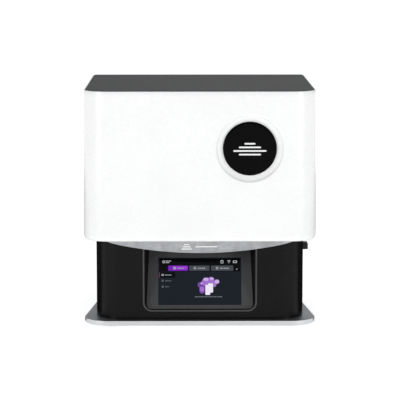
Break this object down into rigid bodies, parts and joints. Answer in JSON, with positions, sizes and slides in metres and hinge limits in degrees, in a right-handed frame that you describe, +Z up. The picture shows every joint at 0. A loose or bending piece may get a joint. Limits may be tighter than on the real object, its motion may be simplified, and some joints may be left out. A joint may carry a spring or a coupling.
{
  "type": "resin 3d printer",
  "caption": "Desktop resin printer: hinged white light-tight hood over a black base with tilted touch screen, vat, light engine and screw-driven platform.",
  "frame": {"origin": "centre of the footprint, on the surface that the printer stands on", "axes": "+Z up, -Y towards the front with the screen, +X to the right as seen from the front"},
  "size_m": [0.3, 0.276, 0.305],
  "materials": {
    "white_shell": "satin gloss moulded white",
    "black_shell": "satin black moulded",
    "roof_grey": "fine-textured dark grey",
    "badge_black": "high gloss black",
    "brushed_aluminium": "brushed, clear anodised",
    "machined_aluminium": "machined, bead blasted",
    "black_anodised": "black anodised, satin",
    "bezel_grey": "fine matte dark grey",
    "display_glass": "gloss touch glass over a lit display",
    "mask_glass": "dark LCD cover glass",
    "display_back": "black painted can",
    "steel": "ground steel",
    "zinc_steel": "zinc plated",
    "brass": "turned brass",
    "rubber": "matte black rubber",
    "foam_seal": "closed-cell foam",
    "black_plastic": "fine matte black",
    "circuit_board": "solder mask green",
    "led_white": "white solder mask",
    "clear_lens": "clear moulded lens sheet",
    "clear_film": "clear fluoropolymer film"
  },
  "bodies": {
    "base": {"base_plate": "brushed_aluminium", "rubber_feet": "rubber", "base_shell": "black_shell", "rear_panel": "black_shell", "deck_plate": "brushed_aluminium", "front_apron": "brushed_aluminium", "screen_bezel": "bezel_grey", "touch_glass": "display_glass", "display_module": "display_back", "hinge_brackets": "zinc_steel", "hinge_pins": "steel", "plate_screws": "zinc_steel", "deck_screws": "zinc_steel", "rear_panel_screws": "zinc_steel", "lcd_glass": "mask_glass", "lcd_panel": "display_back", "light_box": "machined_aluminium", "lens_plate": "clear_lens", "led_board": "led_white", "heat_sink": "machined_aluminium", "sink_fan_frame": "black_plastic", "exhaust_fan_frame": "black_plastic", "main_board": "circuit_board", "power_supply": "zinc_steel", "power_inlet": "black_plastic", "ethernet_socket": "zinc_steel", "usb_socket": "zinc_steel", "z_column": "black_anodised", "linear_rails": "steel", "column_screws": "zinc_steel", "screw_bearing": "machined_aluminium", "z_motor": "display_back", "limit_sensor": "black_plastic"},
    "hood": {"hood_shell": "white_shell", "roof_panel": "roof_grey", "badge_disc": "badge_black", "hood_seal": "foam_seal", "hinge_leaves": "zinc_steel"},
    "z_carriage": {"rail_carriages": "steel", "carriage_plate": "machined_aluminium", "screw_nut": "brass", "platform_arm": "machined_aluminium", "sensor_flag": "zinc_steel"},
    "platform": {"build_platform": "machined_aluminium", "platform_stem": "steel", "levelling_screws": "zinc_steel"},
    "platform_knob": {"platform_knob": "black_plastic"},
    "lead_screw": {"lead_screw": "steel", "shaft_coupler": "machined_aluminium"},
    "vat": {"vat_frame": "black_anodised", "vat_film": "clear_film", "film_ring": "zinc_steel", "film_screws": "zinc_steel"},
    "vat_knob_left": {"vat_knob_left": "black_plastic"},
    "vat_knob_right": {"vat_knob_right": "black_plastic"},
    "power_rocker": {"power_rocker": "black_plastic"},
    "usb_stick": {"usb_stick": "black_plastic"},
    "sink_fan": {"sink_fan_rotor": "black_plastic"},
    "exhaust_fan": {"exhaust_fan_rotor": "black_plastic"}
  },
  "joints": [
    {"name": "hood_hinge", "type": "hinge", "parent": "base", "child": "hood", "pos_m": [0, 0.1314, 0.105], "axis": [-1, 0, 0], "range_deg": [0, 76]},
    {"name": "z_slide", "type": "slide", "parent": "base", "child": "z_carriage", "axis": [0, 0, 1], "range_m": [-0.11, 0]},
    {"name": "screw_turn", "type": "hinge", "parent": "base", "child": "lead_screw", "pos_m": [0, 0.096, 0.2], "axis": [0, 0, -1], "range_deg": [-4952, 2]},
    {"name": "platform_release", "type": "slide", "parent": "z_carriage", "child": "platform", "axis": [0, -1, 0], "range_m": [0, 0.045]},
    {"name": "platform_knob_turn", "type": "hinge", "parent": "platform", "child": "platform_knob", "pos_m": [0, -0.018, 0.27], "axis": [0, 0, 1], "range_deg": [0, 540]},
    {"name": "vat_lift", "type": "slide", "parent": "base", "child": "vat", "axis": [0, 0, 1], "range_m": [0, 0.04]},
    {"name": "vat_knob_left_turn", "type": "hinge", "parent": "vat", "child": "vat_knob_left", "pos_m": [-0.105, -0.018, 0.135], "axis": [0, 0, 1], "range_deg": [0, 1080]},
    {"name": "vat_knob_right_turn", "type": "hinge", "parent": "vat", "child": "vat_knob_right", "pos_m": [0.105, -0.018, 0.135], "axis": [0, 0, 1], "range_deg": [0, 1080]},
    {"name": "power_rocker_tilt", "type": "hinge", "parent": "base", "child": "power_rocker", "pos_m": [0.042, 0.122, 0.059], "axis": [1, 0, 0], "range_deg": [-16, 0]},
    {"name": "usb_stick_pull", "type": "slide", "parent": "base", "child": "usb_stick", "axis": [1, 0, 0], "range_m": [0, 0.02]},
    {"name": "sink_fan_spin", "type": "hinge", "parent": "base", "child": "sink_fan", "pos_m": [0, -0.018, 0.029], "axis": [0, 0, 1], "continuous": true},
    {"name": "exhaust_fan_spin", "type": "hinge", "parent": "base", "child": "exhaust_fan", "pos_m": [-0.074, 0.106, 0.055], "axis": [0, 1, 0], "continuous": true}
  ],
  "couplings": [
    {"joint": "screw_turn", "follows": "z_slide", "rad_per_m": 785.4}
  ]
}
